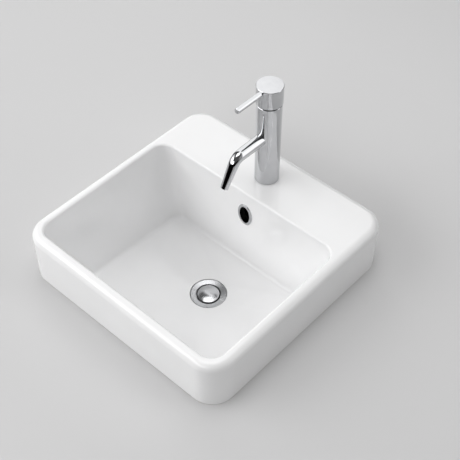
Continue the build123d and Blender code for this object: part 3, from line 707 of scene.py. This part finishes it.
@dataclass
class Studio:
    """The floor that the basin stands on, the world round it and the lights."""

    floor_radius: float = 7.0
    floor_steps: int = 96
    floor_z: float = -0.0002
    floor_near: float = 1.3
    floor_far: float = 2.8
    hole_half_x: float = 0.1992
    hole_half_y: float = 0.1977
    hole_corner: float = 0.0372
    hole_steps: int = 8
    # Painted light: the counter's colour runs from the first tone below at the front to the lighter one at
    # the back.
    floor_back_light: Triple = (0.720, 0.718, 0.720)
    floor_front_shade: Triple = (0.590, 0.588, 0.590)
    floor_shade_from_y: float = -0.35
    floor_light_to_y: float = 0.60
    floor_cloud_mm: float = 400.0
    floor_waver: float = 0.03
    floor_roughness: float = 0.6
    floor_sheen: float = 0.25
    room: Triple = (0.58, 0.578, 0.58)
    room_light: Triple = (1.0, 1.0, 1.0)
    card_distance: float = 1.35
    card_height: float = 0.42
    card_from_deg: float = -75.0
    card_to_deg: float = 75.0
    card_steps: int = 40
    card_black: Triple = (0.004, 0.004, 0.004)
    card_roughness: float = 0.9

    def build(self) -> None:
        """Makes the floor, the world and every light."""
        self.lay_floor()
        self.stand_black_card()
        self.paint_room()
        for box in self.softboxes():
            box.hang()

    def softboxes(self) -> list[Softbox]:
        """Lists the lights."""
        return [
            Softbox("left_box", (-2.3, -0.5, 1.1), (0.0, 0.0, 0.1), 1.4, 1.2, 0.63),
            Softbox("key_box", (-1.6, -1.7, 1.6), (0.0, 0.0, 0.1), 2.0, 1.6, 2.73),
            Softbox("front_box", (0.2, -2.5, 1.5), (0.0, 0.0, 0.1), 2.0, 1.0, 3.25),
            Softbox("top_box", (-0.1, 0.1, 2.6), (0.0, 0.0, 0.0), 1.6, 1.6, 2.4),
        ]

    def glows(self) -> list[Glow]:
        """Lists the bright sides of the room."""
        return [
            Glow("whole_room", (0.0, 0.0, 1.0), -1.0, 181.0, 1.0, 0.01),
            Glow("upper_room", (0.0, 0.0, 1.0), -1.0, 60.0, 20.0, 0.10),
            Glow("light_arch", (0.0, 1.0, 0.0), 54.0, 66.0, 8.0, 1.35),
            Glow("left_front", (-0.75, -0.55, 0.35), -1.0, 20.0, 25.0, 0.71),
            Glow("from_below", (0.0, 0.0, -1.0), -1.0, 55.0, 15.0, 0.45),
            Glow("right_back", (0.85, 0.45, 0.25), -1.0, 20.0, 20.0, 0.36),
        ]

    def lay_floor(self) -> None:
        """Makes the counter plane with its cut-out for the bowl."""
        sheet = bmesh.new()
        self.ring(sheet, self.floor_rim())
        self.ring(sheet, self.cut_out())
        bmesh.ops.triangle_fill(sheet, edges=sheet.edges[:], use_beauty=True)
        for face in sheet.faces:
            if face.normal.z < 0:
                face.normal_flip()
        mesh = bpy.data.meshes.new("counter")
        sheet.to_mesh(mesh)
        sheet.free()
        mesh.materials.append(self.floor_material())
        floor = bpy.data.objects.new("counter", mesh)
        bpy.context.scene.collection.objects.link(floor)

    def floor_rim(self) -> list[Vector]:
        """Lists the points round the floor's edge."""
        points = []
        for step in range(self.floor_steps):
            turn = 2 * math.pi * step / self.floor_steps
            x = self.floor_radius * math.cos(turn)
            y = self.floor_radius * math.sin(turn)
            points.append(Vector((x, y, self.floor_z)))
        return points

    def cut_out(self) -> list[Vector]:
        """Lists the points round the cut-out.

        Returns:
            The points, in order round the plan.
        """
        points = []
        for corner, (sign_x, sign_y) in enumerate(((1, 1), (-1, 1), (-1, -1), (1, -1))):
            for step in range(self.hole_steps + 1):
                turn = math.pi / 2 * (corner + step / self.hole_steps)
                x = sign_x * (self.hole_half_x - self.hole_corner) + self.hole_corner * math.cos(turn)
                y = sign_y * (self.hole_half_y - self.hole_corner) + self.hole_corner * math.sin(turn)
                points.append(Vector((x, y, self.floor_z)))
        return points

    def ring(self, sheet: bmesh.types.BMesh, points: list[Vector]) -> None:
        """Adds a closed ring of edges through some points."""
        corners = [sheet.verts.new(point) for point in points]
        for this, following in zip(corners, corners[1:] + corners[:1]):
            sheet.edges.new((this, following))

    def floor_material(self) -> bpy.types.Material:
        """Lays out the counter's matt paint, which is clear from below, fades into the room far out, and
        has painted light: darker at the front and lighter towards the back.
        """
        sheet = ShaderSheet("counter_paint")
        # Painted light: the paint's colour runs from a darker front to a lighter back, along y.
        fade = sheet.nodes.new("ShaderNodeMapRange")
        fade.inputs["From Min"].default_value = self.floor_shade_from_y
        fade.inputs["From Max"].default_value = self.floor_light_to_y
        sheet.links.new(sheet.split(sheet.place)[1], fade.inputs["Value"])
        waver = sheet.between(sheet.grain(self.floor_cloud_mm, 2.0), -self.floor_waver, self.floor_waver)
        tone = sheet.calculate("ADD", fade.outputs["Result"], waver)
        sheet.join(sheet.gradient(tone, self.floor_front_shade, self.floor_back_light), "Base Color")
        sheet.put("Roughness", self.floor_roughness)
        sheet.put("Specular IOR Level", self.floor_sheen)
        clear = sheet.nodes.new("ShaderNodeBsdfTransparent").outputs["BSDF"]
        mix = sheet.nodes.new("ShaderNodeMixShader")
        sheet.links.new(self.see_through(sheet), mix.inputs["Fac"])
        sheet.links.new(sheet.surface.outputs["BSDF"], mix.inputs[1])
        sheet.links.new(clear, mix.inputs[2])
        sheet.links.new(mix.outputs["Shader"], sheet.nodes["Material Output"].inputs["Surface"])
        return sheet.material

    def see_through(self, sheet: ShaderSheet) -> Socket:
        """Finds where the floor is clear.

        Args:
            sheet: The floor's material.

        Returns:
            1 from below and far out, and 0 from above near the basin.
        """
        below = sheet.nodes.new("ShaderNodeNewGeometry").outputs["Backfacing"]
        reach = sheet.nodes.new("ShaderNodeVectorMath")
        reach.operation = "LENGTH"
        sheet.links.new(sheet.place, reach.inputs[0])
        thin = sheet.nodes.new("ShaderNodeMapRange")
        thin.interpolation_type = "SMOOTHSTEP"
        thin.inputs["From Min"].default_value = self.floor_near
        thin.inputs["From Max"].default_value = self.floor_far
        sheet.links.new(reach.outputs["Value"], thin.inputs["Value"])
        return sheet.calculate("MAXIMUM", below, thin.outputs["Result"])

    def paint_room(self) -> None:
        """Makes the room: plain to the camera, and with its bright and dim sides for every other ray."""
        world = bpy.data.worlds.new("room")
        bpy.context.scene.world = world
        world.use_nodes = True
        nodes = world.node_tree.nodes
        links = world.node_tree.links
        toward = nodes.new("ShaderNodeTexCoord").outputs["Generated"]
        summed = None
        for glow in self.glows():
            light = glow.lay(nodes, links, toward)
            if summed is not None:
                total = nodes.new("ShaderNodeMath")
                total.operation = "ADD"
                links.new(summed, total.inputs[0])
                links.new(light, total.inputs[1])
                light = total.outputs["Value"]
            summed = light
        lit = nodes.new("ShaderNodeBackground")
        lit.inputs["Color"].default_value = (*self.room_light, 1.0)
        links.new(summed, lit.inputs["Strength"])
        shown = nodes["Background"]
        shown.inputs["Color"].default_value = (*self.room, 1.0)
        rays = nodes.new("ShaderNodeLightPath")
        mix = nodes.new("ShaderNodeMixShader")
        links.new(rays.outputs["Is Camera Ray"], mix.inputs["Fac"])
        links.new(lit.outputs["Background"], mix.inputs[1])
        links.new(shown.outputs["Background"], mix.inputs[2])
        links.new(mix.outputs["Shader"], nodes["World Output"].inputs["Surface"])

    def stand_black_card(self) -> None:
        """Stands a low black card round the front, which only polished metal picks up."""
        card = bmesh.new()
        foot = []
        head = []
        for step in range(self.card_steps + 1):
            share = step / self.card_steps
            turn = math.radians(self.card_from_deg + (self.card_to_deg - self.card_from_deg) * share)
            x = self.card_distance * math.sin(turn)
            y = -self.card_distance * math.cos(turn)
            foot.append(card.verts.new((x, y, self.floor_z)))
            head.append(card.verts.new((x, y, self.card_height)))
        for step in range(self.card_steps):
            card.faces.new((foot[step], foot[step + 1], head[step + 1], head[step]))
        mesh = bpy.data.meshes.new("black_card")
        card.to_mesh(mesh)
        card.free()
        mesh.materials.append(self.card_material())
        piece = bpy.data.objects.new("black_card", mesh)
        bpy.context.scene.collection.objects.link(piece)
        piece.visible_camera = False
        piece.visible_diffuse = False
        piece.visible_shadow = False

    def card_material(self) -> bpy.types.Material:
        """Lays out the black card's paint."""
        sheet = ShaderSheet("black_card_paint")
        sheet.put("Base Color", (*self.card_black, 1.0))
        sheet.put("Roughness", self.card_roughness)
        sheet.put("Specular IOR Level", 0.0)
        return sheet.material


@dataclass(frozen=True)
class Viewpoint:
    """The camera at the photograph's angle."""

    azimuth_deg: float = 42.3524
    elevation_deg: float = 47.3831
    distance: float = 1.61476
    aim: Triple = (-0.02017, 0.07610, 0.0)
    lens_mm: float = 76.97
    sensor_mm: float = 36.0

    def set_up(self) -> None:
        """Makes the camera and gives it to the scene."""
        azimuth = math.radians(self.azimuth_deg)
        elevation = math.radians(self.elevation_deg)
        level = math.cos(elevation)
        back = Vector((math.sin(azimuth) * level, -math.cos(azimuth) * level, math.sin(elevation)))
        right = Vector((math.cos(azimuth), math.sin(azimuth), 0.0))
        up = back.cross(right)
        data = bpy.data.cameras.new("camera")
        data.lens = self.lens_mm
        data.sensor_width = self.sensor_mm
        camera = bpy.data.objects.new("camera", data)
        bpy.context.scene.collection.objects.link(camera)
        turn = Matrix((right, up, back)).transposed().to_4x4()
        camera.matrix_world = Matrix.Translation(Vector(self.aim) + back * self.distance) @ turn
        bpy.context.scene.camera = camera


def main() -> None:
    """Builds the scene, one sub-assembly after another."""
    logging.basicConfig(level=logging.INFO, format="%(message)s")
    bpy.context.scene.view_settings.view_transform = "Standard"
    Viewpoint().set_up()
    Studio().build()
    dresser = Dresser(FinishShelf())
    for assembly in (Basin, Waste, Mixer, Handle, Fixings):
        assembly(dresser).dress()


if __name__ == "__main__":
    main()
